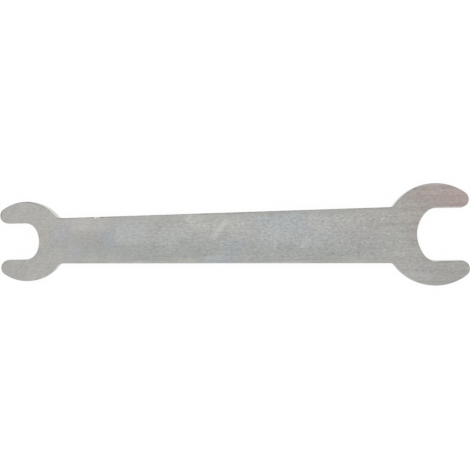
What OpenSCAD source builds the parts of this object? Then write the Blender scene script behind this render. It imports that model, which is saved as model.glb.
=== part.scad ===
// Flat double open-end wrench, blanked from sheet steel: a tapered shank between two round heads,
// each with an open jaw in line with the shank. The small jaw points to -X and the large jaw to +X.
// The origin lies under the middle of the wrench, on the face that it rests on, with +Z up.

/* [Sheet] */
// Length from the tips of the small jaw to the tips of the large jaw
overall_length = 170; // [150:1:220]
// Thickness of the steel sheet
sheet_thickness = 3; // [2:0.1:5]

/* [Small jaw] */
// Width across the flats of the nut that the small jaw takes
small_nut = 13; // [10:0.5:16]
// Width of the cheek on each side of the small jaw
small_cheek = 7.9; // [6.5:0.1:10]
// Radius of the rounded tips of the small jaw
small_tip_radius = 2.9; // [1.5:0.05:3.2]
// Depth of the floor of the small jaw behind the middle of its head
small_throat = 4.3; // [3:0.1:6]
// Radius of the corners between the floor and the sides of the small jaw
small_corner_radius = 4.6; // [2:0.1:4.8]
// Depth by which the middle of the small jaw's floor lies below its corners
small_floor_crown = 0.45; // [0.2:0.05:0.8]

/* [Large jaw] */
// Width across the flats of the nut that the large jaw takes
large_nut = 19; // [16:0.5:22]
// Width of the cheek on each side of the large jaw
large_cheek = 9.1; // [7:0.1:12]
// Radius of the rounded tips of the large jaw
large_tip_radius = 3.05; // [1.5:0.05:3.4]
// Depth of the floor of the large jaw behind the middle of its head
large_throat = 6.7; // [5:0.1:9]
// Radius of the corners between the floor and the sides of the large jaw
large_corner_radius = 5.6; // [2:0.1:6.5]
// Depth by which the middle of the large jaw's floor lies below its corners
large_floor_crown = 1.6; // [0.4:0.05:2.2]

/* [Both jaws] */
// Play across the flats between a nut and its jaw
jaw_play = 0.1; // [0.05:0.05:0.4]

/* [Shank] */
// Width of the shank on the line through the middle of the small head
shank_width_small = 16.1; // [12:0.1:22]
// Width of the shank on the line through the middle of the large head
shank_width_large = 21; // [14:0.1:28]
// Radius in the corners where the shank meets a head
shoulder_radius = 1.5; // [0.5:0.1:4]

/* [Hidden] */
$fn = 180;
// Room by which a cut runs past the surface that it opens
cut_room = 1;
// Depth by which a round stands proud of the face that it runs into, so that the two cross
blend = 0.002;

small_half_gap = (small_nut + jaw_play) / 2;
large_half_gap = (large_nut + jaw_play) / 2;
small_head_radius = small_half_gap + small_cheek;
large_head_radius = large_half_gap + large_cheek;

// Middle of a jaw tip, from the middle of its head: the tip's round touches the head's round from
// the inside and the side of the jaw from the other side
function tip_middle(half_gap, cheek, tip_radius) = [
    sqrt((cheek - 2 * tip_radius) * (2 * half_gap + cheek)),
    half_gap + tip_radius
];

small_tip = tip_middle(small_half_gap, small_cheek, small_tip_radius);
large_tip = tip_middle(large_half_gap, large_cheek, large_tip_radius);
small_head_x = small_tip.x + small_tip_radius - overall_length / 2;
large_head_x = overall_length / 2 - large_tip.x - large_tip_radius;
head_spacing = large_head_x - small_head_x;

// Half widths of the shank at the middles of the heads, and how it widens from one to the other
small_half_width = shank_width_small / 2;
large_half_width = shank_width_large / 2;
taper = (large_half_width - small_half_width) / head_spacing;
taper_angle = atan(taper);

// Distance from the middle of a head to the shank's end inside it, just behind the jaw's floor
small_root = small_throat + cut_room;
large_root = large_throat + cut_room;

// Flat outlines drawn inside become plates of the sheet's thickness
module plate() {
    linear_extrude(sheet_thickness)
        children();
}

// The shank widens towards the large head, and its ends lie inside the heads
module shank() {
    small_end = [small_head_x + small_root, small_half_width + taper * small_root];
    large_end = [large_head_x - large_root, large_half_width - taper * large_root];
    polygon([
        small_end,
        [small_end.x, -small_end.y],
        [large_end.x, -large_end.y],
        large_end
    ]);
}

// All of a head that lies beyond the middles of its tips
module mouth(head_radius, tip) {
    far = head_radius + cut_room;
    on_rim = tip * far / norm(tip);
    polygon([
        tip,
        [tip.x, -tip.y],
        [on_rim.x, -on_rim.y],
        [far, -on_rim.y],
        [far, on_rim.y],
        on_rim
    ]);
}

// Open jaw along +X: parallel sides as far as the middles of the tips, a crowned floor, and round
// corners between floor and sides
module jaw(half_gap, tip, throat, corner_radius, floor_crown) {
    corner = [floor_crown + corner_radius - throat, half_gap - corner_radius];
    step = (floor_crown * floor_crown + corner.y * corner.y) / (2 * floor_crown);
    floor_radius = corner_radius + step;
    reach = floor_radius + cut_room;
    spread = reach * corner.y / (step - floor_crown);
    translate([corner.x, -half_gap])
        square([tip.x + cut_room - corner.x, 2 * half_gap]);
    for (side = [-1, 1])
        translate([corner.x, side * corner.y])
            circle(corner_radius + blend);
    translate([floor_radius - throat, 0])
        intersection() {
            circle(floor_radius);
            polygon([[0, 0], [-reach, spread], [-reach, -spread]]);
        }
}

module tips(tip, tip_radius) {
    for (side = [-1, 1])
        translate([tip.x, side * tip.y])
            circle(tip_radius + blend);
}

// Filled corners between a head and the shank that leaves it towards -X. The shank's edges pass the
// middle of the head at half_width and spread by spread degrees on their way
module shoulders(head_radius, half_width, spread) {
    slope = tan(spread);
    reach = head_radius + shoulder_radius;
    offset_width = half_width + shoulder_radius / cos(spread);
    along = sqrt(reach * reach * (1 + slope * slope) - offset_width * offset_width);
    middle_x = (offset_width * slope - along) / (1 + slope * slope);
    middle = [middle_x, offset_width - slope * middle_x];
    in_shank = middle - 2 * shoulder_radius * [sin(spread), cos(spread)];
    in_head = middle * (1 - 2 * shoulder_radius / reach);
    for (side = [0, 1])
        mirror([0, side])
            difference() {
                polygon([middle, in_head, in_shank]);
                translate(middle)
                    circle(shoulder_radius + blend);
            }
}

module small_head() {
    translate([small_head_x, 0, 0])
        rotate([0, 0, 180]) {
            plate()
                difference() {
                    circle(small_head_radius);
                    mouth(small_head_radius, small_tip);
                    jaw(small_half_gap, small_tip, small_throat, small_corner_radius, small_floor_crown);
                }
            plate()
                tips(small_tip, small_tip_radius);
            plate()
                shoulders(small_head_radius, small_half_width, taper_angle);
        }
}

module large_head() {
    translate([large_head_x, 0, 0]) {
        plate()
            difference() {
                circle(large_head_radius);
                mouth(large_head_radius, large_tip);
                jaw(large_half_gap, large_tip, large_throat, large_corner_radius, large_floor_crown);
            }
        plate()
            tips(large_tip, large_tip_radius);
        plate()
            shoulders(large_head_radius, large_half_width, -taper_angle);
    }
}

module wrench_body() {
    color("#acaca9") {
        plate()
            shank();
        small_head();
        large_head();
    }
}

wrench_body();
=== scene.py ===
"""Looks of a flat double open-end wrench, blanked from sheet steel and zinc-plated.

The outline follows the same rule as the solid: two round heads with open jaws, joined by a tapered
shank. Geometry Nodes run the sheared edge round that outline and close the two faces.
"""

import math

import bmesh
import bpy
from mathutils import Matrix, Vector


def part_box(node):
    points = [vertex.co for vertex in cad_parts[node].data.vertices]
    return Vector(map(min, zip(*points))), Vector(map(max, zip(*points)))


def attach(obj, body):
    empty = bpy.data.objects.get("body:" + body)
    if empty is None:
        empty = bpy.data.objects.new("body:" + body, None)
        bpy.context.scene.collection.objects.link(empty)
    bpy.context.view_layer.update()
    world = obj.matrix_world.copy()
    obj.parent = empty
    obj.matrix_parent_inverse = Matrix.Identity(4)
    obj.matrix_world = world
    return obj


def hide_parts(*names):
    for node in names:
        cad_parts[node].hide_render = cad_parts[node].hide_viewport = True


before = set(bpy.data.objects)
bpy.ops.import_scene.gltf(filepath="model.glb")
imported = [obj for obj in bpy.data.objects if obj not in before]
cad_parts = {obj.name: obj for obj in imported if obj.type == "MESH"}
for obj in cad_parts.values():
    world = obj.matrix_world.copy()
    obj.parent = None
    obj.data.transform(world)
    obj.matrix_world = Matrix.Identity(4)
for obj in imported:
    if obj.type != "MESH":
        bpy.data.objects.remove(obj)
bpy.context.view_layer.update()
NODE = "wrench_body"

bl_info = {
    "name": "Flat Open-End Wrench",
    "version": (1, 0, 0),
    "blender": (4, 5, 0),
    "location": "View3D > Sidebar > Wrench",
    "description": "Dresses a flat double open-end wrench in its sheared edge and zinc plating",
    "category": "Object",
}

MM = 0.001
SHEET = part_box(NODE)[1][2] / MM

# Section of the edge: steps that round a corner, and cuts in the upper land, the torn part and the band
ROUND_STEPS = 5
LAND_CUTS = 12
TORN_CUTS = 8
BAND_CUTS = 3

# Least share of X in the edge's way out by which a flare is divided, so that no slide gets too long
LEAST_LEAN = 0.05

# Ragged bites: the noise at which they start and are full, the share of +Y in the edge's way out at
# which they start to deepen and are full, and what is left of them elsewhere
BITE_NOISE = (0.42, 0.72)
BITE_FACING = (0.99, 1.0)
BITE_ASIDE = 0.3
BITE_ON_HEAD = 0.2

# Distances from the wrench's middle, in mm, at which its edge is a head's and the shank's
HEAD_TO_SHANK = (64, 58)

# Share of the land, from its inner side, that neither bites nor flare move
STILL_LAND = 0.4

# Noise at which the torn part's grain starts and is full
GRAIN_NOISE = (0.35, 0.65)

# Distance in mm below which two points become one
MERGE = 0.002

# What most of a noise lies between, for flecks and for the others, and its middle
FLECK_NOISE = (0.25, 0.75)
MOST_NOISE = (0.3, 0.7)
MIDDLE_NOISE = 0.5

# Share of an oval's half width over which it fades
SOFT_RIM = 0.7

# Share of a cloud by which the rims of the tints wander
WANDER = 0.7

# How many times longer than wide flecks, rolling lines, the small head's lines and streaks are drawn
FLECK_STRETCH = 2
ROLL_STRETCH = 30
BRUSH_STRETCH = 20
STREAK_STRETCH = 12.5

# Turn of the small head's lines, in degrees
BRUSH_TURN = 52

# Places along X, in mm: where the small head's lines start and are full, where the large head's do,
# and where the flecks start to get stronger and are full
SMALL_HEAD = (-58, -64)
LARGE_HEAD = (45, 70)
FLECK_RISE = (-64, -15)

# Strength of flecks: at both ends of that rise, then what each head adds, what is left at the edge,
# and how much they change the tone
FLECK_SHARES = (0.62, 1.05)
FLECK_ON_SMALL = 0.2
FLECK_ON_LARGE = -0.08
FLECK_AT_EDGE = 0.15
FLECK_TONE = 0.29

# How much clouds change the tone, then lines on the shank and the large head, and what the edge adds
CLOUD_TONE = 0.05
LINE_TONES = (0.14, 0.38)
LINE_AT_EDGE = 0.3

# Least tone of a rub mark, whose flecks are smeared out
SMEARED = 0.5

# Shares of the edge break, from its outer side, at which the face's finish ends and the wall's is full
FACE_END = 0.6
WALL_START = 0.1

# Streaks of the punch, in mm: their width, how far they swing the tear's line, and how far above the
# burnished band it starts and is full; then their darkest and lightest tone
STREAK = 0.5
TEAR_SWING = 0.8
TEAR_RISE = (0.3, 0.5)
STREAK_TONES = (0.9, 1.03)

# Depths in mm at which nicks and flares start to show bare metal and are bare
NICKED = (0.06, 0.28)
FLARED = (0.04, 0.2)

# Soil along the ragged upper edge, made darker as painted shade: share of the land that it fades over,
# depths in mm below the face at which it ends and is full, and its darkest tone
SOIL_AND_SHADE_FADE = 0.14
SOIL_AND_SHADE_DEPTHS = (0.9, 0.2)
SOIL_AND_SHADE_TONE = 0.42

# Roughness of flecks from dark to light and of the edge from burnished to torn, then the relief's
# strength and its height in mm
FACE_ROUGH = (0.4, 0.52)
EDGE_ROUGH = (0.3, 0.55)
RELIEF = 0.3
RELIEF_HEIGHT = 0.05

# Share of the floor's white that no shadow takes, its depth under the wrench and the nearest that
# the camera sees, both in mm
CARD_GLOW = 0.93
FLOOR_DEPTH = 0.02
NEAREST = 10

# Tints of the passivation film and bands of painted sheen and shade on the upper face, in mm: colour,
# middle, half length, half width, share
TINT_AND_SHEEN_OVALS = (
    ("cool", 0, 0, 64, 15, 0.4),
    ("ice", 30, 0, 36, 13, 0.35),
    ("pale", -54, 6.5, 12, 4, 0.5),
    ("dull", -65, 1, 6, 8, 0.45),
    ("dull", -51, -1.5, 14, 7, 0.9),
    ("dull", -64, -2, 5, 7, 0.4),
    ("dull", -59, -6, 6, 4, 0.4),
    ("violet", -62.5, 2.5, 3.5, 6, 0.5),
    ("violet", -58, -3.5, 4, 3, 0.35),
    ("straw", -69.5, 2, 3.5, 7, 0.4),
    ("rose", -70.5, 2, 2.4, 3.5, 0.3),
    ("rose", -53, 1, 6, 4, 0.15),
    ("blue", -46, 0, 4.5, 5, 0.6),
    ("ice", -38.5, 3, 9, 6, 0.5),
    ("dull", -36, -4, 9, 7, 0.4),
    # The long dull bands low on the shank and the pale bands along its lower land are painted shade and
    # sheen
    ("dull", -26, -5, 27, 5.5, 0.9),
    ("dull", 20, -6, 38, 5, 0.7),
    ("pale", -32, -9.6, 36, 2.6, 0.55),
    ("pale", 26, -10.6, 38, 2.6, 0.65),
    ("straw", -21, -8.0, 8, 2.4, 0.5),
    ("ice", -7, -8.2, 11, 2.6, 0.8),
    ("blue", -5, -8.4, 8, 2, 0.35),
    ("straw", 34, -8.8, 10, 2.6, 0.35),
    ("pale", -10, 5, 12, 5, 0.6),
    ("pale", 2, 3.5, 8, 5.5, 0.6),
    ("blue", -0.5, -3.8, 6.5, 4.5, 0.5),
    ("ice", 17, 5.4, 14, 5, 0.8),
    ("violet", 27.5, 3, 4, 3.5, 0.5),
    ("pale", 37, 5, 16, 6, 0.6),
    # The dull band along the upper land is painted shade
    ("dull", 4, 9.8, 30, 2.4, 0.7),
    ("straw", 10, 9.4, 6, 2, 0.5),
    ("rose", 46, 1, 12, 8, 0.15),
    ("dull", 52, -5, 7, 6, 0.4),
    ("pale", 60, 2, 9, 10, 0.2),
    ("rose", 60, 7, 5, 5, 0.25),
    ("rose", 65, 1, 5, 9, 0.25),
    ("violet", 69.5, -13.4, 7, 4, 0.35),
    ("dull", 77, -13, 11, 7, 0.35),
    ("dull", 77, -17, 9, 3, 0.4),
    ("dull", 81, 13, 10, 8, 0.6),
    ("rose", 70, 14, 14, 9, 0.45),
    ("rose", 75, 16, 11, 5, 0.3),
    ("dull", 80, -12, 9, 6, 0.6),
    ("rose", 78, -13, 12, 5, 0.2),
    ("dull", 84, 13, 6, 7, 0.5),
    ("rose", 82, 13, 12, 9, 0.8),
    ("dull", -81, -10.5, 9, 6, 0.6),
    ("rose", -80, -10.5, 9, 5, 0.15),
)

# Rub marks and specks on the upper face, in mm: middle, half length, half width, turn in degrees, share
MARKS = (
    (-5.0, 3.9, 5.6, 1.4, 44, 0.75),
    (-7.4, 0.9, 2.6, 1.4, 25, 0.5),
    (-16.6, 7.4, 2.2, 0.7, 48, 0.6),
    (-15.8, 8.3, 0.6, 0.5, 48, 1.0),
    (25.2, -2.2, 2.6, 1.5, 55, 0.4),
    (24.1, -3.5, 0.9, 0.8, 55, 0.9),
    (53.3, 5.8, 0.7, 0.6, 0, 1.0),
    (55.6, 0.5, 0.8, 0.5, 30, 0.9),
    (54.1, -5.4, 0.6, 0.5, 0, 0.9),
    (52.0, -1.8, 0.5, 0.5, 0, 0.6),
    (49.1, 6.0, 0.5, 0.5, 0, 0.6),
    (57.5, 6.0, 0.6, 0.4, 0, 0.6),
    (60.9, -7.2, 0.5, 0.6, 0, 0.8),
    (75.0, 15.9, 0.6, 0.6, 0, 0.7),
    (78.6, -11.7, 0.8, 0.5, 0, 0.7),
)

# Marks along the upper edge, in mm: middle, half length, half width, set back, share of soil and painted
# shade
EDGE_MARKS = (
    # The nick by x -50 is set back to bright bare metal, a painted glint, with painted shadow beside it
    (-50.6, 8.4, 0.7, 0.9, 0.45, 0.0),
    (-49.5, 8.4, 0.55, 0.9, 0.4, 0.0),
    (-51.5, 8.4, 0.9, 1.0, 0.0, 1.0),
    (-58.5, 8.2, 3.6, 1.0, 0.0, 0.5),
    (-56.0, 8.2, 1.2, 0.9, 0.03, 0.7),
    (-53.2, 8.3, 1.6, 1.0, 0.0, 0.6),
    (-48.0, 8.4, 1.3, 0.9, 0.02, 0.9),
    (-44.6, 8.5, 3.0, 1.0, 0.0, 0.6),
    (-70.0, 13.4, 10.0, 4.0, 0.0, 1.0),
    (-62.8, 8.4, 2.6, 1.0, 0.0, 0.9),
    (-84.8, 9.0, 1.5, 4.0, 0.0, 0.7),
    (58.8, 11.6, 3.0, 2.6, 0.0, 0.8),
    (62.6, 15.2, 4.0, 3.0, 0.0, 0.4),
    (55.0, 10.1, 3.0, 1.0, 0.0, 0.5),
    (65.0, 17.2, 1.3, 1.3, 0.0, 0.6),
    (76.5, -9.6, 9.5, 1.2, 0.2, 0.45),
    (75.8, -9.6, 5.0, 1.2, 0.0, 1.0),
    (77.5, 9.5, 9.0, 1.5, 0.2, 0.0),
    (70.8, -8.4, 6.0, 4.0, 0.32, 0.4),
)


def length(name, description, millimetres):
    """A size that is kept in metres and given in millimetres."""
    return bpy.props.FloatProperty(
        name=name, description=description, default=millimetres * MM, unit="LENGTH", precision=5,
    )


def angle(name, description, degrees):
    """An angle that is kept in radians and given in degrees."""
    return bpy.props.FloatProperty(
        name=name, description=description, default=math.radians(degrees), subtype="ANGLE",
    )


def linear(hex_colour):
    """An sRGB hex colour as linear red, green, blue and alpha."""
    parts = [int(hex_colour[i : i + 2], 16) / 255 for i in (1, 3, 5)]
    return tuple(c / 12.92 if c <= 0.04045 else ((c + 0.055) / 1.055) ** 2.4 for c in parts) + (1.0,)


def colour(name, description, hex_colour):
    """A colour that is kept linear and given as an sRGB hex value."""
    return bpy.props.FloatVectorProperty(
        name=name, description=description, default=linear(hex_colour), subtype="COLOR",
        size=4, min=0.0, max=1.0,
    )


def give(tree, socket, value):
    """Links a socket to another socket or to a node's output, or sets its value."""
    if isinstance(value, bpy.types.Node):
        value = next(output for output in value.outputs if output.enabled)
    if isinstance(value, bpy.types.NodeSocket):
        tree.links.new(value, socket)
    else:
        socket.default_value = value


def put(tree, kind, inputs=None, **settings):
    """Adds a node with its settings; an input is a value, a socket or a node with that output."""
    node = tree.nodes.new(kind)
    for key, value in settings.items():
        setattr(node, key, value)
    for key, value in (inputs or {}).items():
        give(tree, node.inputs[key], value)
    return node


class WrenchSizes(bpy.types.PropertyGroup):
    """Outline of the wrench."""

    overall: length("Overall length", "From tips to tips", 170)
    small_nut: length("Small nut", "Width across flats that the small jaw takes", 13)
    small_cheek: length("Small cheek", "Width beside the small jaw", 7.9)
    small_tip: length("Small tips", "Radius of the small jaw's tips", 2.9)
    small_throat: length("Small throat", "Depth of the small jaw behind its head's middle", 4.3)
    small_corner: length("Small corners", "Radius in the small jaw's corners", 4.6)
    small_crown: length("Small floor", "Crown of the small jaw's floor", 0.45)
    large_nut: length("Large nut", "Width across flats that the large jaw takes", 19)
    large_cheek: length("Large cheek", "Width beside the large jaw", 9.1)
    large_tip: length("Large tips", "Radius of the large jaw's tips", 3.05)
    large_throat: length("Large throat", "Depth of the large jaw behind its head's middle", 6.7)
    large_corner: length("Large corners", "Radius in the large jaw's corners", 5.6)
    large_crown: length("Large floor", "Crown of the large jaw's floor", 1.6)
    play: length("Jaw play", "Play between nut and jaw", 0.1)
    shank_small: length("Shank at small head", "Width on the small head's middle", 16.1)
    shank_large: length("Shank at large head", "Width on the large head's middle", 21)
    shoulder: length("Shoulders", "Radius between shank and heads", 1.5)


class WrenchEdge(bpy.types.PropertyGroup):
    """Sheared edge that blanking leaves round the sheet."""

    sheet: length("Sheet", "Thickness of the sheet", SHEET)
    edge_break: length("Edge break", "Radius that tumbling leaves on the upper edge", 0.14)
    roll_over: length("Roll-over", "Radius that the die leaves on the lower edge", 0.45)
    lean: length("Lean", "How far the torn part of the edge leans in", 0.08)
    small_flare: length("Small flare", "Further lean where the small head faces the shank", 0.56)
    large_flare: length("Large flare", "Further lean where the large head faces the shank", 0.16)
    flare_turn: angle("Flare turn", "How far the flare is turned from the shank to +Y", 19)
    flare_spread: angle("Flare spread", "How far the flare reaches to both sides", 70)
    burnish: length("Burnished band", "Height of the smooth part of the edge", 1.2)
    land: length("Land", "Width of the rubbed ring beside the edges of the faces", 2.2)
    tear: length("Tear", "Depth of the grain in the torn part of the edge", 0.04)
    rag_depth: length("Rag depth", "Depth of the ragged bites in the upper edge", 0.1)
    rag_size: length("Rag size", "Length of a ragged bite", 1.4)
    spacing: length("Spacing", "Distance between points along the outline", 0.3)
    seed: bpy.props.FloatProperty(
        name="Seed", description="Start of the noise in bites and grain", default=4.0,
    )


class WrenchFinish(bpy.types.PropertyGroup):
    """Colours and pattern sizes of the zinc plating."""

    zinc: colour("Zinc", "Plain plating", "#abaaa6")
    cool: colour("Cool", "Bluish film", "#a9aead")
    straw: colour("Straw", "Yellowish film", "#abaa9f")
    rose: colour("Rose", "Reddish film", "#a99a96")
    violet: colour("Violet", "Violet film", "#a8a7ad")
    # Pale and dull are thin and thick film, and also painted sheen and shade in bands along the shank
    pale: colour("Pale", "Thin film", "#b5b4b1")
    dull: colour("Dull", "Thick film", "#a0a2a0")
    blue: colour("Blue", "Dark bluish film", "#a0a5aa")
    ice: colour("Ice", "Pale bluish film", "#afb3b5")
    rubbed: colour("Rubbed", "Rub marks and specks", "#c2c1be")
    torn: colour("Torn", "Torn part of the edge", "#c6c5c2")
    burnished: colour("Burnished", "Smooth part of the edge", "#d0d0cd")
    flared: colour("Flared", "Flared parts of the edge", "#dcdcda")
    # Bare metal in nicks and set-back parts, made brighter than the flared metal as a painted glint
    bare_and_glint: colour("Bare", "Nick and other set-back parts of the edge", "#e8e8e6")
    fleck: length("Fleck", "Size of the zinc's flecks as drawn", 0.58)
    line: length("Rolling lines", "Distance between rolling lines as drawn", 0.8)
    cloud: length("Clouds", "Size of the film's clouds", 9)


class WrenchStage(bpy.types.PropertyGroup):
    """Camera, light and floor."""

    camera_height: length("Camera height", "From the upper face to the camera", 320)
    view_width: length("View width", "Width of the picture on the upper face", 170.25)
    turn: angle("Turn", "How far the wrench is turned in the picture", 0.994)
    middle_x: length("Middle X", "Picture's middle along the wrench", -0.02)
    middle_y: length("Middle Y", "Picture's middle across the wrench", 1.02)
    floor: length("Floor", "Half the floor's side", 3000)
    card: colour("Card", "White card of the floor", "#fafafa")
    softbox: length("Softbox", "Side of the soft lamp", 500)
    softbox_at: bpy.props.FloatVectorProperty(
        name="Softbox at", description="Place of the soft lamp", default=(-0.35, 0.1, 0.75), subtype="XYZ",
    )
    softbox_power: bpy.props.FloatProperty(
        name="Softbox power", description="Power of the soft lamp", default=0.25, unit="POWER",
    )
    room_light: bpy.props.FloatProperty(
        name="Room light", description="Strength of the white room's light on the wrench", default=1.05,
    )


def arc(middle, radius, start, end, spacing):
    """Points along an arc, both ends among them."""
    count = max(2, math.ceil(abs(end - start) * radius / spacing))
    return [
        Vector((
            middle[0] + radius * math.cos(start + (end - start) * i / count),
            middle[1] + radius * math.sin(start + (end - start) * i / count),
        ))
        for i in range(count + 1)
    ]


def head_run(nut, cheek, tip, throat, corner, crown, half_width, spread, sizes, spacing):
    """Half outline of a head with its jaw along +X, from floor to shank, and the reach of its tips."""
    half_gap = (nut + sizes.play) / 2
    radius = half_gap + cheek
    tip_at = Vector((math.sqrt((cheek - 2 * tip) * (2 * half_gap + cheek)), half_gap + tip))
    corner_at = Vector((crown + corner - throat, half_gap - corner))
    step = (crown**2 + corner_at.y**2) / (2 * crown)
    floor_radius = corner + step
    floor_angle = math.atan2(corner_at.y, step - crown)
    slope = math.tan(spread)
    reach = radius + sizes.shoulder
    offset = half_width + sizes.shoulder / math.cos(spread)
    along = math.sqrt(reach**2 * (1 + slope**2) - offset**2)
    shoulder_x = (offset * slope - along) / (1 + slope**2)
    shoulder_at = Vector((shoulder_x, offset - slope * shoulder_x))
    tip_angle = math.atan2(tip_at.y, tip_at.x)
    shoulder_angle = math.atan2(shoulder_at.y, shoulder_at.x)
    run = arc((floor_radius - throat, 0), floor_radius, math.pi, math.pi - floor_angle, spacing)
    run += arc(corner_at, corner, math.pi - floor_angle, math.pi / 2, spacing)[1:]
    run += arc(tip_at, tip, -math.pi / 2, tip_angle, spacing)
    run += arc((0, 0), radius, tip_angle, shoulder_angle, spacing)[1:]
    run += arc(shoulder_at, sizes.shoulder, shoulder_angle - math.pi, -math.pi / 2 - spread, spacing)[1:]
    return run, tip_at.x + tip


def wrench_outline(sizes, spacing):
    """The wrench's outline, counter-clockwise, with no gap between points above the spacing."""
    small_half = sizes.shank_small / 2
    large_half = sizes.shank_large / 2
    small = (sizes.small_nut, sizes.small_cheek, sizes.small_tip, sizes.small_throat,
             sizes.small_corner, sizes.small_crown, small_half)
    large = (sizes.large_nut, sizes.large_cheek, sizes.large_tip, sizes.large_throat,
             sizes.large_corner, sizes.large_crown, large_half)
    small_reach = head_run(*small, 0.0, sizes, spacing)[1]
    large_reach = head_run(*large, 0.0, sizes, spacing)[1]
    small_x = small_reach - sizes.overall / 2
    large_x = sizes.overall / 2 - large_reach
    spread = math.atan((large_half - small_half) / (large_x - small_x))
    small_run = [Vector((small_x - p.x, p.y)) for p in head_run(*small, spread, sizes, spacing)[0]]
    large_run = [Vector((large_x + p.x, p.y)) for p in head_run(*large, -spread, sizes, spacing)[0]]
    upper = large_run + small_run[::-1]
    corners = upper + [Vector((p.x, -p.y)) for p in upper[-2:0:-1]]
    points = []
    for here, there in zip(corners, corners[1:] + corners[:1]):
        gap = (there - here).length
        count = max(1, math.ceil(gap / spacing))
        points += [here.lerp(there, i / count) for i in range(count)]
    return points


def edge_wear(points, edge):
    """Slide, flare, set-back, and dirt with painted shade, of the upper edge at each point of the outline.
    """
    wear = []
    limit = math.cos(edge.flare_spread)
    for before, here, after in zip(points[-1:] + points, points, points[1:] + points[:1]):
        way = (after - before).normalized()
        way_out = Vector((way.y, -way.x))
        side = -1 if here.x > 0 else 1
        flare_way = Vector((side * math.cos(edge.flare_turn), math.sin(edge.flare_turn)))
        flare = max(0.0, (way_out.dot(flare_way) - limit) / (1 - limit))
        flare *= edge.large_flare if here.x > 0 else edge.small_flare
        slide = -side * flare / max(abs(way_out.x), LEAST_LEAN)
        set_back, soil = 0.0, 0.0
        for x, y, half_length, half_width, depth, share in EDGE_MARKS:
            away = math.hypot((here.x / MM - x) / half_length, (here.y / MM - y) / half_width)
            part = min(1.0, max(0.0, (1 - away) / SOFT_RIM))
            set_back = max(set_back, depth * MM * part)
            soil = max(soil, share * part)
        wear.append((slide, flare, set_back, soil))
    return wear


def edge_section(tree, given, axis):
    """Section of the sheared edge as a curve, which keeps how near the outline each point lies."""
    # Distance in from the outline and height at its corners, then what rounds each corner, then how
    # many times each stretch of the rounded section is cut
    corners = [
        put(tree, "ShaderNodeCombineXYZ", {"X": inward, "Y": height})
        for inward, height in (
            (given["Land"], given["Sheet"]), (given["Lean"], given["Sheet"]), (0.0, given["Burnish"]),
            (0.0, 0.0), (given["Land"], 0.0),
        )
    ]
    roundings = [0.0, given["Edge break"], 0.0, given["Roll-over"], 0.0]
    cuts = [LAND_CUTS] + [0] * ROUND_STEPS + [TORN_CUTS, BAND_CUTS]
    index = put(tree, "GeometryNodeInputIndex")
    choices = []
    for kind, values in (("VECTOR", corners), ("FLOAT", roundings), ("INT", cuts)):
        choice = put(tree, "GeometryNodeIndexSwitch", {"Index": index}, data_type=kind)
        while len(choice.index_switch_items) < len(values):
            choice.index_switch_items.new()
        for socket, value in zip(list(choice.inputs)[1:], values):
            give(tree, socket, value)
        choices.append(choice)
    line = put(tree, "GeometryNodeMeshLine", {"Count": len(corners)})
    line = put(tree, "GeometryNodeSetPosition", {"Geometry": line, "Position": choices[0]})
    line = put(tree, "GeometryNodeMeshToCurve", {"Mesh": line})
    line = put(tree, "GeometryNodeFilletCurve", {
        "Curve": line, "Radius": choices[1], "Count": ROUND_STEPS,
    }, mode="POLY")
    line = put(tree, "GeometryNodeSubdivideCurve", {"Curve": line, "Cuts": choices[2]})
    nearness = put(tree, "ShaderNodeMapRange", {
        "Value": axis["X"], "From Min": given["Land"], "From Max": 0.0,
    })
    line = put(tree, "GeometryNodeStoreNamedAttribute", {
        "Geometry": line, "Name": "edge", "Value": nearness,
    })
    return put(tree, "GeometryNodeTransform", {"Geometry": line, "Scale": (-1, -1, 1)})


def outline_rail(tree, given, place, axis, per_bite):
    """Outline as a curve, which keeps its length so far, its way out and how deep its ragged bites are."""
    rail = put(tree, "GeometryNodeMeshToCurve", {"Mesh": given["Outline"]})
    rail = put(tree, "GeometryNodeSetCurveNormal", {"Curve": rail}, mode="Z_UP")
    run = put(tree, "GeometryNodeSplineParameter").outputs["Length"]
    rail = put(tree, "GeometryNodeStoreNamedAttribute", {
        "Geometry": rail, "Name": "edge_run", "Value": run,
    })
    way_out = put(tree, "GeometryNodeInputNormal")
    rail = put(tree, "GeometryNodeStoreNamedAttribute", {
        "Geometry": rail, "Name": "way_out", "Value": way_out,
    }, data_type="FLOAT_VECTOR")
    ragged = put(tree, "ShaderNodeTexNoise", {
        "Vector": place, "W": given["Seed"], "Scale": per_bite, "Detail": 3.0, "Roughness": 0.65,
    }, noise_dimensions="4D")
    ragged = put(tree, "ShaderNodeMapRange", {
        "Value": ragged, "From Min": BITE_NOISE[0], "From Max": BITE_NOISE[1], "To Max": given["Rag depth"],
    })
    facing = put(tree, "ShaderNodeSeparateXYZ", {0: way_out})
    facing = put(tree, "ShaderNodeMapRange", {
        "Value": facing.outputs["Y"], "From Min": BITE_FACING[0], "From Max": BITE_FACING[1],
        "To Min": BITE_ASIDE,
    })
    reach = put(tree, "ShaderNodeMath", {0: axis["X"]}, operation="ABSOLUTE")
    on_shank = put(tree, "ShaderNodeMapRange", {
        "Value": reach, "From Min": HEAD_TO_SHANK[0] * MM, "From Max": HEAD_TO_SHANK[1] * MM,
        "To Min": BITE_ON_HEAD,
    })
    ragged = put(tree, "ShaderNodeMath", {0: ragged, 1: facing}, operation="MULTIPLY")
    ragged = put(tree, "ShaderNodeMath", {0: ragged, 1: on_shank}, operation="MULTIPLY")
    return put(tree, "GeometryNodeStoreNamedAttribute", {
        "Geometry": rail, "Name": "ragged", "Value": ragged,
    })


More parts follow.
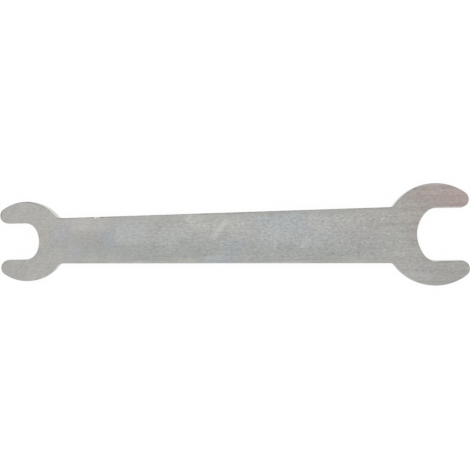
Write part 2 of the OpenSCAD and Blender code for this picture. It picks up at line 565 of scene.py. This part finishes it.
def worn_wall(tree, given, place, axis, per_bite, wall):
    """Edge with its bites, its flare and its grain."""
    # Bites take the upper edge in as far down as the burnished band. The flare slides it towards the
    # jaw as far down as the roll-over. The torn part of the edge is grained
    edge = put(tree, "GeometryNodeInputNamedAttribute", {"Name": "edge"}, data_type="FLOAT")
    ragged = put(tree, "GeometryNodeInputNamedAttribute", {"Name": "ragged"}, data_type="FLOAT")
    set_back = put(tree, "GeometryNodeInputNamedAttribute", {"Name": "set_back"}, data_type="FLOAT")
    slide = put(tree, "GeometryNodeInputNamedAttribute", {"Name": "slide"}, data_type="FLOAT")
    way_out = put(tree, "GeometryNodeInputNamedAttribute", {"Name": "way_out"}, data_type="FLOAT_VECTOR")
    bite = put(tree, "ShaderNodeMath", {0: ragged, 1: set_back}, operation="MAXIMUM")
    rounded = put(tree, "ShaderNodeMath", {0: given["Lean"], 1: given["Edge break"]}, operation="ADD")
    rounded = put(tree, "ShaderNodeMath", {0: rounded, 1: given["Land"]}, operation="DIVIDE")
    rounded = put(tree, "ShaderNodeMath", {0: 1.0, 1: rounded}, operation="SUBTRACT")
    beside = put(tree, "ShaderNodeMapRange", {"Value": edge, "From Min": STILL_LAND, "From Max": rounded})
    above = put(tree, "ShaderNodeMapRange", {
        "Value": axis["Z"], "From Min": given["Roll-over"], "From Max": given["Sheet"],
    })
    on_tear = put(tree, "ShaderNodeMapRange", {
        "Value": axis["Z"], "From Min": given["Burnish"], "From Max": given["Sheet"],
    })
    bite = put(tree, "ShaderNodeMath", {0: bite, 1: on_tear}, operation="MULTIPLY")
    depth = put(tree, "ShaderNodeMath", {0: bite, 1: beside}, operation="MULTIPLY")
    slide = put(tree, "ShaderNodeMath", {0: slide, 1: above}, operation="MULTIPLY")
    slide = put(tree, "ShaderNodeMath", {0: slide, 1: beside}, operation="MULTIPLY")
    slide = put(tree, "ShaderNodeCombineXYZ", {"X": slide})
    grain = put(tree, "ShaderNodeTexNoise", {
        "Vector": place, "W": given["Seed"], "Scale": per_bite, "Detail": 4.0, "Roughness": 0.8,
    }, noise_dimensions="4D")
    grain = put(tree, "ShaderNodeMapRange", {
        "Value": grain, "From Min": GRAIN_NOISE[0], "From Max": GRAIN_NOISE[1], "To Max": given["Tear"],
    })
    leaning = put(tree, "ShaderNodeMath", {0: given["Lean"], 1: given["Land"]}, operation="DIVIDE")
    leaning = put(tree, "ShaderNodeMath", {0: 1.0, 1: leaning}, operation="SUBTRACT")
    on_wall = put(tree, "ShaderNodeMapRange", {"Value": edge, "From Min": leaning, "From Max": 1.0})
    torn = put(tree, "ShaderNodeMath", {0: axis["Z"], 1: given["Burnish"]}, operation="GREATER_THAN")
    torn = put(tree, "ShaderNodeMath", {0: torn, 1: on_wall}, operation="MULTIPLY")
    depth = put(tree, "ShaderNodeMath", {0: grain, 1: torn, 2: depth}, operation="MULTIPLY_ADD")
    inward = put(tree, "ShaderNodeVectorMath", {0: way_out, 1: (-1, -1, -1)}, operation="MULTIPLY")
    shift = put(tree, "ShaderNodeVectorMath", {0: inward, "Scale": depth}, operation="SCALE")
    shift = put(tree, "ShaderNodeVectorMath", {0: shift, 1: slide}, operation="ADD")
    return put(tree, "GeometryNodeSetPosition", {"Geometry": wall, "Offset": shift})


def closed_faces(tree, given, axis, wall):
    """Edge with both faces closed inside their lands."""
    sides = put(tree, "GeometryNodeInputMeshEdgeNeighbors")
    rim = put(tree, "ShaderNodeMath", {0: sides, 1: 2.0}, operation="LESS_THAN")
    high = put(tree, "ShaderNodeMath", {0: axis["Z"], 1: given["Burnish"]}, operation="GREATER_THAN")
    low = put(tree, "ShaderNodeMath", {0: axis["Z"], 1: given["Burnish"]}, operation="LESS_THAN")
    upper = put(tree, "ShaderNodeMath", {0: rim, 1: high}, operation="MULTIPLY")
    upper = put(tree, "GeometryNodeMeshToCurve", {"Mesh": wall, "Selection": upper})
    upper = put(tree, "GeometryNodeFillCurve", {"Curve": upper}, mode="NGONS")
    lift = put(tree, "ShaderNodeCombineXYZ", {"Z": given["Sheet"]})
    upper = put(tree, "GeometryNodeSetPosition", {"Geometry": upper, "Offset": lift})
    lower = put(tree, "ShaderNodeMath", {0: rim, 1: low}, operation="MULTIPLY")
    lower = put(tree, "GeometryNodeMeshToCurve", {"Mesh": wall, "Selection": lower})
    lower = put(tree, "GeometryNodeFillCurve", {"Curve": lower}, mode="NGONS")
    lower = put(tree, "GeometryNodeFlipFaces", {"Mesh": lower})
    whole = put(tree, "GeometryNodeJoinGeometry")
    for part in (lower, upper, wall):
        give(tree, whole.inputs[0], part)
    return put(tree, "GeometryNodeMergeByDistance", {"Geometry": whole, "Distance": MERGE * MM})


def edge_tree():
    """Geometry Nodes that run the sheared edge round an outline and close both faces."""
    tree = bpy.data.node_groups.new("Sheared edge", "GeometryNodeTree")
    tree.interface.new_socket("Geometry", in_out="OUTPUT", socket_type="NodeSocketGeometry")
    tree.interface.new_socket("Outline", in_out="INPUT", socket_type="NodeSocketGeometry")
    for name in ("Sheet", "Edge break", "Roll-over", "Lean", "Burnish", "Land", "Tear", "Rag depth",
                 "Rag size", "Seed"):
        tree.interface.new_socket(name, in_out="INPUT", socket_type="NodeSocketFloat")
    tree.interface.new_socket("Material", in_out="INPUT", socket_type="NodeSocketMaterial")
    given = put(tree, "NodeGroupInput").outputs
    place = put(tree, "GeometryNodeInputPosition")
    axis = put(tree, "ShaderNodeSeparateXYZ", {0: place}).outputs
    per_bite = put(tree, "ShaderNodeMath", {0: 1.0, 1: given["Rag size"]}, operation="DIVIDE")
    line = edge_section(tree, given, axis)
    rail = outline_rail(tree, given, place, axis, per_bite)
    wall = put(tree, "GeometryNodeCurveToMesh", {"Curve": rail, "Profile Curve": line})
    wall = worn_wall(tree, given, place, axis, per_bite, wall)
    whole = closed_faces(tree, given, axis, wall)
    whole = put(tree, "GeometryNodeSetShadeSmooth", {"Geometry": whole})
    whole = put(tree, "GeometryNodeRealizeInstances", {"Geometry": whole})
    whole = put(tree, "GeometryNodeSetMaterial", {"Geometry": whole, "Material": given["Material"]})
    put(tree, "NodeGroupOutput", {0: whole})
    return tree


def soft_oval(tree, spot, x, y, half_length, half_width, turn=0.0):
    """Nodes whose value is 1 in the middle of an oval on the upper face and fades to 0 at its rim."""
    placed = put(tree, "ShaderNodeMapping", {
        "Vector": spot, "Location": (x, y, SHEET), "Rotation": (0, 0, math.radians(turn)),
        "Scale": (half_length, half_width, SHEET),
    }, vector_type="TEXTURE")
    away = put(tree, "ShaderNodeVectorMath", {0: placed}, operation="LENGTH")
    return put(tree, "ShaderNodeMapRange", {
        "Value": away, "From Min": 1.0, "From Max": 1.0 - SOFT_RIM,
    }, interpolation_type="SMOOTHSTEP")


def tinted_film_and_sheen(tree, finish, spot, cloud):
    """Colour of the zinc under its film and its painted sheen and shade, whose tints have rims that wander
    with its clouds.
    """
    swing = WANDER * finish.cloud / MM
    wander = put(tree, "ShaderNodeVectorMath", {
        0: cloud.outputs["Color"], 1: (MIDDLE_NOISE, MIDDLE_NOISE, MIDDLE_NOISE),
    }, operation="SUBTRACT")
    wander = put(tree, "ShaderNodeVectorMath", {
        0: wander, 1: (swing, swing, 0), 2: spot,
    }, operation="MULTIPLY_ADD")
    face = tuple(finish.zinc)
    for name, x, y, half_length, half_width, share in TINT_AND_SHEEN_OVALS:
        oval = soft_oval(tree, wander, x, y, half_length, half_width)
        share = put(tree, "ShaderNodeMath", {0: oval, 1: share}, operation="MULTIPLY")
        face = put(tree, "ShaderNodeMix", {
            "Factor": share, "A": face, "B": tuple(getattr(finish, name)),
        }, data_type="RGBA")
    return face


def plating_tone(tree, finish, spot, axis, near, cloud, fleck):
    """Tone of the faces, about 1, from flecks, clouds and rolling lines."""
    # Flecks are fainter towards the small head, a little on the large one and where tumbling rubbed
    # the edges
    on_small = put(tree, "ShaderNodeMapRange", {
        "Value": axis["X"], "From Min": SMALL_HEAD[0], "From Max": SMALL_HEAD[1],
    })
    on_large = put(tree, "ShaderNodeMapRange", {
        "Value": axis["X"], "From Min": LARGE_HEAD[0], "From Max": LARGE_HEAD[1],
    })
    strong = put(tree, "ShaderNodeMapRange", {
        "Value": axis["X"], "From Min": FLECK_RISE[0], "From Max": FLECK_RISE[1],
        "To Min": FLECK_SHARES[0], "To Max": FLECK_SHARES[1],
    })
    strong = put(tree, "ShaderNodeMath", {
        0: on_large, 1: FLECK_ON_LARGE, 2: strong,
    }, operation="MULTIPLY_ADD")
    strong = put(tree, "ShaderNodeMath", {
        0: on_small, 1: FLECK_ON_SMALL, 2: strong,
    }, operation="MULTIPLY_ADD")
    unrubbed = put(tree, "ShaderNodeMapRange", {"Value": near, "To Min": 1.0, "To Max": FLECK_AT_EDGE})
    strong = put(tree, "ShaderNodeMath", {0: strong, 1: unrubbed}, operation="MULTIPLY")
    tone = put(tree, "ShaderNodeMapRange", {
        "Value": fleck, "From Min": FLECK_NOISE[0], "From Max": FLECK_NOISE[1],
        "To Min": -FLECK_TONE, "To Max": FLECK_TONE,
    })
    tone = put(tree, "ShaderNodeMath", {0: tone, 1: strong, 2: 1.0}, operation="MULTIPLY_ADD")
    clouded = put(tree, "ShaderNodeMapRange", {
        "Value": cloud, "From Min": MOST_NOISE[0], "From Max": MOST_NOISE[1],
        "To Min": -CLOUD_TONE, "To Max": CLOUD_TONE,
    })
    tone = put(tree, "ShaderNodeMath", {0: tone, 1: clouded}, operation="ADD")

    # Lines run along the shank and slantwise over the small head, clearest by the large head and edges
    rolled = put(tree, "ShaderNodeMapping", {
        "Vector": spot, "Scale": (ROLL_STRETCH, 1, 1),
    }, vector_type="TEXTURE")
    brushed = put(tree, "ShaderNodeMapping", {
        "Vector": spot, "Rotation": (0, 0, math.radians(BRUSH_TURN)), "Scale": (BRUSH_STRETCH, 1, 1),
    }, vector_type="TEXTURE")
    drawn = put(tree, "ShaderNodeMix", {"Factor": on_small, "A": rolled, "B": brushed}, data_type="VECTOR")
    line = put(tree, "ShaderNodeTexNoise", {"Vector": drawn, "Scale": MM / finish.line, "Detail": 1.0})
    lined = put(tree, "ShaderNodeMapRange", {
        "Value": on_large, "To Min": LINE_TONES[0], "To Max": LINE_TONES[1],
    })
    lined = put(tree, "ShaderNodeMath", {0: near, 1: LINE_AT_EDGE, 2: lined}, operation="MULTIPLY_ADD")
    streak = put(tree, "ShaderNodeMath", {0: line, 1: MIDDLE_NOISE}, operation="SUBTRACT")
    return put(tree, "ShaderNodeMath", {0: streak, 1: lined, 2: tone}, operation="MULTIPLY_ADD")


def rub_marks(tree, finish, spot, tone, face):
    """Faces with rub marks, where the flecks are smeared out, and pale specks of zinc."""
    calm = put(tree, "ShaderNodeMapRange", {"Value": tone, "To Min": SMEARED})
    smear = put(tree, "ShaderNodeVectorMath", {
        0: tuple(finish.rubbed)[:3], "Scale": calm,
    }, operation="SCALE")
    for x, y, half_length, half_width, turn, share in MARKS:
        oval = soft_oval(tree, spot, x, y, half_length, half_width, turn)
        share = put(tree, "ShaderNodeMath", {0: oval, 1: share}, operation="MULTIPLY")
        face = put(tree, "ShaderNodeMix", {"Factor": share, "A": face, "B": smear}, data_type="RGBA")
    return face


def sheared_edge(tree, finish, edge, axis):
    """Streaks of the punch, the torn part of the edge, and its colour: burnished below, torn above."""
    run = put(tree, "ShaderNodeAttribute", attribute_name="edge_run").outputs["Fac"]
    along = put(tree, "ShaderNodeMath", {0: run, 1: 1 / MM}, operation="MULTIPLY")
    unrolled = put(tree, "ShaderNodeCombineXYZ", {"X": along, "Y": axis["Z"]})
    drawn = put(tree, "ShaderNodeMapping", {"Vector": unrolled, "Scale": (1, 1 / STREAK_STRETCH, 1)})
    punched = put(tree, "ShaderNodeTexNoise", {
        "Vector": drawn, "Scale": 1 / STREAK, "Detail": 2.0,
    }, noise_dimensions="2D")
    tear_line = put(tree, "ShaderNodeMath", {
        0: punched, 1: TEAR_SWING, 2: axis["Z"],
    }, operation="MULTIPLY_ADD")
    torn = put(tree, "ShaderNodeMapRange", {
        "Value": tear_line,
        "From Min": edge.burnish / MM + TEAR_RISE[0], "From Max": edge.burnish / MM + TEAR_RISE[1],
    })
    wall = put(tree, "ShaderNodeMix", {
        "Factor": torn, "A": tuple(finish.burnished), "B": tuple(finish.torn),
    }, data_type="RGBA")
    streaked = put(tree, "ShaderNodeMapRange", {
        "Value": punched, "From Min": MOST_NOISE[0], "From Max": MOST_NOISE[1],
        "To Min": STREAK_TONES[0], "To Max": STREAK_TONES[1],
    })
    wall = put(tree, "ShaderNodeVectorMath", {0: wall, "Scale": streaked}, operation="SCALE")
    return punched, torn, wall


def soil_shade_and_glinting_metal(tree, finish, edge, axis, near, on_wall, base):
    """Colour with dirt and painted shade along the upper edge, and with exposed metal where the edge is
    nicked or flared, brighter in nicks as a painted glint.
    """
    ragged = put(tree, "ShaderNodeAttribute", attribute_name="ragged").outputs["Fac"]
    set_back = put(tree, "ShaderNodeAttribute", attribute_name="set_back").outputs["Fac"]
    flare = put(tree, "ShaderNodeAttribute", attribute_name="flare").outputs["Fac"]
    soil = put(tree, "ShaderNodeAttribute", attribute_name="soil").outputs["Fac"]
    on_tear = put(tree, "ShaderNodeMapRange", {
        "Value": axis["Z"], "From Min": edge.burnish / MM, "From Max": SHEET,
    })
    nicked = put(tree, "ShaderNodeMath", {0: set_back, 1: on_tear}, operation="MULTIPLY")
    nicked = put(tree, "ShaderNodeMapRange", {
        "Value": nicked, "From Min": NICKED[0] * MM, "From Max": NICKED[1] * MM,
    })
    flared = put(tree, "ShaderNodeMapRange", {
        "Value": flare, "From Min": FLARED[0] * MM, "From Max": FLARED[1] * MM,
    })

    # Soil clings to the ragged upper edge, and not to bare parts of the wall; it is made darker as painted
    # shade in the bites and along the edge
    bare_and_glint = put(tree, "ShaderNodeMath", {0: nicked, 1: flared}, operation="MAXIMUM")
    kept = put(tree, "ShaderNodeMath", {0: 1.0, 1: bare_and_glint}, operation="SUBTRACT")
    off_wall = put(tree, "ShaderNodeMath", {0: 1.0, 1: on_wall}, operation="SUBTRACT")
    kept = put(tree, "ShaderNodeMath", {0: kept, 1: off_wall}, operation="MAXIMUM")
    rim = 1 - (edge.lean + edge.edge_break) / edge.land
    at_edge = put(tree, "ShaderNodeMapRange", {"Value": near, "From Min": rim - SOIL_AND_SHADE_FADE, "From Max": rim})
    up_high = put(tree, "ShaderNodeMapRange", {
        "Value": axis["Z"], "From Min": SHEET - SOIL_AND_SHADE_DEPTHS[0], "From Max": SHEET - SOIL_AND_SHADE_DEPTHS[1],
    })
    # Painted shade with soil: darker in the ragged bites and along the marked parts of the upper edge
    grime_and_shade = put(tree, "ShaderNodeMapRange", {"Value": ragged, "From Max": edge.rag_depth})
    grime_and_shade = put(tree, "ShaderNodeMath", {0: grime_and_shade, 1: soil}, operation="MAXIMUM")
    for limit in (at_edge, kept, up_high):
        grime_and_shade = put(tree, "ShaderNodeMath", {0: grime_and_shade, 1: limit}, operation="MULTIPLY")
    grime_and_shade = put(tree, "ShaderNodeMapRange", {"Value": grime_and_shade, "To Min": 1.0, "To Max": SOIL_AND_SHADE_TONE})
    base = put(tree, "ShaderNodeVectorMath", {0: base, "Scale": grime_and_shade}, operation="SCALE")
    # Flared parts show their metal; nicks show bare metal brightened as a painted glint
    for shown, metal in ((flared, finish.flared), (nicked, finish.bare_and_glint)):
        shown = put(tree, "ShaderNodeMath", {0: shown, 1: on_wall}, operation="MULTIPLY")
        base = put(tree, "ShaderNodeMix", {"Factor": shown, "A": base, "B": tuple(metal)}, data_type="RGBA")
    return base


def zinc_plated_sheet_steel(finish, edge):
    """Zinc-plated rolled sheet steel, blanked and then tumbled."""
    # Zinc crystals scatter the light, so the faces look matt and finely flecked: a light grey with a
    # breath of blue, straw and rose from the passivation film. The punch leaves a bright burnished
    # band low on the edge and a duller torn part above it.
    material = bpy.data.materials.new("zinc-plated rolled sheet steel")
    material.use_nodes = True
    tree = material.node_tree
    tree.nodes.clear()
    place = put(tree, "ShaderNodeTexCoord").outputs["Object"]
    spot = put(tree, "ShaderNodeVectorMath", {0: place, "Scale": 1 / MM}, operation="SCALE")
    axis = put(tree, "ShaderNodeSeparateXYZ", {0: spot}).outputs
    near = put(tree, "ShaderNodeAttribute", attribute_name="edge").outputs["Fac"]
    cloud = put(tree, "ShaderNodeTexNoise", {
        "Vector": spot, "Scale": MM / finish.cloud, "Detail": 3.0, "Roughness": 0.6,
    })

    # Real crystals are under 0.1 mm, so flecks and rolling lines are drawn coarser to show
    stretched = put(tree, "ShaderNodeMapping", {"Vector": spot, "Scale": (1 / FLECK_STRETCH, 1, 1)})
    fleck = put(tree, "ShaderNodeTexNoise", {
        "Vector": stretched, "Scale": MM / finish.fleck, "Detail": 3.0, "Roughness": 0.7, "Distortion": 0.4,
    })
    tone = plating_tone(tree, finish, spot, axis, near, cloud, fleck)
    face = tinted_film_and_sheen(tree, finish, spot, cloud)
    face = put(tree, "ShaderNodeVectorMath", {0: face, "Scale": tone}, operation="SCALE")
    face = rub_marks(tree, finish, spot, tone, face)

    # The wall takes over within the edge break
    face_end = 1 - (edge.lean + FACE_END * edge.edge_break) / edge.land
    wall_start = 1 - (edge.lean + WALL_START * edge.edge_break) / edge.land
    on_wall = put(tree, "ShaderNodeMapRange", {"Value": near, "From Min": face_end, "From Max": wall_start})
    punched, torn, wall = sheared_edge(tree, finish, edge, axis)
    base = put(tree, "ShaderNodeMix", {"Factor": on_wall, "A": face, "B": wall}, data_type="RGBA")
    base = soil_shade_and_glinting_metal(tree, finish, edge, axis, near, on_wall, base)

    # Gloss and relief
    face_rough = put(tree, "ShaderNodeMapRange", {
        "Value": fleck, "From Min": MOST_NOISE[0], "From Max": MOST_NOISE[1],
        "To Min": FACE_ROUGH[0], "To Max": FACE_ROUGH[1],
    })
    wall_rough = put(tree, "ShaderNodeMapRange", {
        "Value": torn, "To Min": EDGE_ROUGH[0], "To Max": EDGE_ROUGH[1],
    })
    rough = put(tree, "ShaderNodeMix", {"Factor": on_wall, "A": face_rough, "B": wall_rough})
    relief = put(tree, "ShaderNodeMix", {"Factor": on_wall, "A": fleck, "B": punched})
    bump = put(tree, "ShaderNodeBump", {
        "Height": relief, "Strength": RELIEF, "Distance": RELIEF_HEIGHT * MM,
    })
    metal = put(tree, "ShaderNodeBsdfPrincipled", {
        "Base Color": base, "Metallic": 1.0, "Roughness": rough, "Normal": bump,
    })
    put(tree, "ShaderNodeOutputMaterial", {"Surface": metal})
    return material


def looked_at(tree):
    """Nodes whose value is 1 for what the camera sees, straight, in metal or through glass."""
    seen = put(tree, "ShaderNodeLightPath").outputs
    looked = put(tree, "ShaderNodeMath", {
        0: seen["Is Camera Ray"], 1: seen["Is Glossy Ray"],
    }, operation="MAXIMUM")
    return put(tree, "ShaderNodeMath", {0: looked, 1: seen["Is Transmission Ray"]}, operation="MAXIMUM")


def white_card(white):
    """Matt white card."""
    # Uncoated card scatters all the light, so the eye sees an even white with no gloss, which shows
    # white in metal too and still takes a faint shadow
    material = bpy.data.materials.new("matt white card")
    material.use_nodes = True
    tree = material.node_tree
    tree.nodes.clear()
    share = put(tree, "ShaderNodeMath", {0: looked_at(tree), 1: CARD_GLOW}, operation="MULTIPLY")
    card = put(tree, "ShaderNodeBsdfDiffuse", {"Color": tuple(white)})
    glow = put(tree, "ShaderNodeEmission", {"Color": linear("#ffffff"), "Strength": 1.0})
    both = put(tree, "ShaderNodeMixShader", {0: share, 1: card, 2: glow})
    put(tree, "ShaderNodeOutputMaterial", {"Surface": both})
    return material


class WRENCH_OT_body(bpy.types.Operator):
    """Build the blanked body with its sheared edge and plated faces"""

    bl_idname = "wrench.body"
    bl_label = "Blanked Body"

    def execute(self, context):
        sizes, edge = context.scene.wrench_sizes, context.scene.wrench_edge
        points = wrench_outline(sizes, edge.spacing)
        loop = bpy.data.meshes.new("outline")
        loop.from_pydata(
            [(p.x, p.y, 0) for p in points],
            [(i, (i + 1) % len(points)) for i in range(len(points))], [],
        )
        wear = edge_wear(points, edge)
        for name, values in zip(("slide", "flare", "set_back", "soil"), zip(*wear)):
            loop.attributes.new(name, "FLOAT", "POINT").data.foreach_set("value", values)
        rail = bpy.data.objects.new("outline", loop)
        context.scene.collection.objects.link(rail)
        tree = edge_tree()
        modifier = rail.modifiers.new("Sheared edge", "NODES")
        modifier.node_group = tree
        values = {
            "Sheet": edge.sheet, "Edge break": edge.edge_break, "Roll-over": edge.roll_over,
            "Lean": edge.lean, "Burnish": edge.burnish, "Land": edge.land, "Tear": edge.tear,
            "Rag depth": edge.rag_depth, "Rag size": edge.rag_size, "Seed": edge.seed,
            "Material": zinc_plated_sheet_steel(context.scene.wrench_finish, edge),
        }
        for item in tree.interface.items_tree:
            if item.item_type == "SOCKET" and item.in_out == "INPUT" and item.name in values:
                modifier[item.identifier] = values[item.name]
        context.view_layer.update()
        shaped = rail.evaluated_get(context.evaluated_depsgraph_get())
        mesh = bpy.data.meshes.new_from_object(shaped)
        mesh.name = "blanked_body"
        bpy.data.objects.remove(rail)
        work = bmesh.new()
        work.from_mesh(mesh)
        bmesh.ops.recalc_face_normals(work, faces=work.faces)
        open_edges = [e for e in work.edges if len(e.link_faces) != 2]
        work.to_mesh(mesh)
        work.free()
        if open_edges:
            raise RuntimeError(f"the blanked body has {len(open_edges)} open edges")
        body = bpy.data.objects.new("blanked_body", mesh)
        context.scene.collection.objects.link(body)
        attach(body, "root")
        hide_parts(NODE)
        return {"FINISHED"}


class WRENCH_OT_stage(bpy.types.Operator):
    """Lay the white floor and set the light and the camera"""

    bl_idname = "wrench.stage"
    bl_label = "Stage"

    def execute(self, context):
        scene, stage = context.scene, context.scene.wrench_stage
        side, low = stage.floor, -FLOOR_DEPTH * MM
        corners = ((-side, -side, low), (side, -side, low), (side, side, low), (-side, side, low))
        mesh = bpy.data.meshes.new("floor")
        mesh.from_pydata(corners, [], [(0, 1, 2, 3)])
        mesh.materials.append(white_card(stage.card))
        floor = bpy.data.objects.new("floor", mesh)
        scene.collection.objects.link(floor)

        world = bpy.data.worlds.new("white room")
        world.use_nodes = True
        tree = world.node_tree
        tree.nodes.clear()
        white = linear("#ffffff")
        soft = put(tree, "ShaderNodeBackground", {"Color": white, "Strength": stage.room_light})
        plain = put(tree, "ShaderNodeBackground", {"Color": white, "Strength": 1.0})
        both = put(tree, "ShaderNodeMixShader", {0: looked_at(tree), 1: soft, 2: plain})
        put(tree, "ShaderNodeOutputWorld", {"Surface": both})
        scene.world = world

        lamp = bpy.data.lights.new("softbox", "AREA")
        lamp.size = stage.softbox
        lamp.energy = stage.softbox_power
        softbox = bpy.data.objects.new("softbox", lamp)
        softbox.location = stage.softbox_at
        softbox.rotation_euler = (-softbox.location).to_track_quat("-Z", "Y").to_euler()
        scene.collection.objects.link(softbox)

        camera = bpy.data.cameras.new("camera")
        camera.sensor_fit = "HORIZONTAL"
        camera.lens = camera.sensor_width * stage.camera_height / stage.view_width
        camera.clip_start = NEAREST * MM
        eye = bpy.data.objects.new("camera", camera)
        eye.location = (stage.middle_x, stage.middle_y, scene.wrench_edge.sheet + stage.camera_height)
        eye.rotation_euler = (0, 0, -stage.turn)
        scene.collection.objects.link(eye)
        scene.camera = eye
        scene.view_settings.view_transform = "Standard"
        return {"FINISHED"}


class WRENCH_PT_panel(bpy.types.Panel):
    """Steps that dress the wrench"""

    bl_idname = "WRENCH_PT_panel"
    bl_label = "Wrench"
    bl_space_type = "VIEW_3D"
    bl_region_type = "UI"
    bl_category = "Wrench"

    def draw(self, context):
        for step in (WRENCH_OT_body, WRENCH_OT_stage):
            self.layout.operator(step.bl_idname)
        for name in GROUPS:
            box = self.layout.box()
            group = getattr(context.scene, name)
            for key in group.bl_rna.properties.keys():
                if key not in ("rna_type", "name"):
                    box.prop(group, key)


GROUPS = {
    "wrench_sizes": WrenchSizes,
    "wrench_edge": WrenchEdge,
    "wrench_finish": WrenchFinish,
    "wrench_stage": WrenchStage,
}
CLASSES = (*GROUPS.values(), WRENCH_OT_body, WRENCH_OT_stage, WRENCH_PT_panel)


def register():
    for cls in CLASSES:
        bpy.utils.register_class(cls)
    for name, group in GROUPS.items():
        setattr(bpy.types.Scene, name, bpy.props.PointerProperty(type=group))


def unregister():
    for name in GROUPS:
        delattr(bpy.types.Scene, name)
    for cls in reversed(CLASSES):
        bpy.utils.unregister_class(cls)


def main():
    register()
    bpy.ops.wrench.body()
    bpy.ops.wrench.stage()


if __name__ == "__main__":
    main()
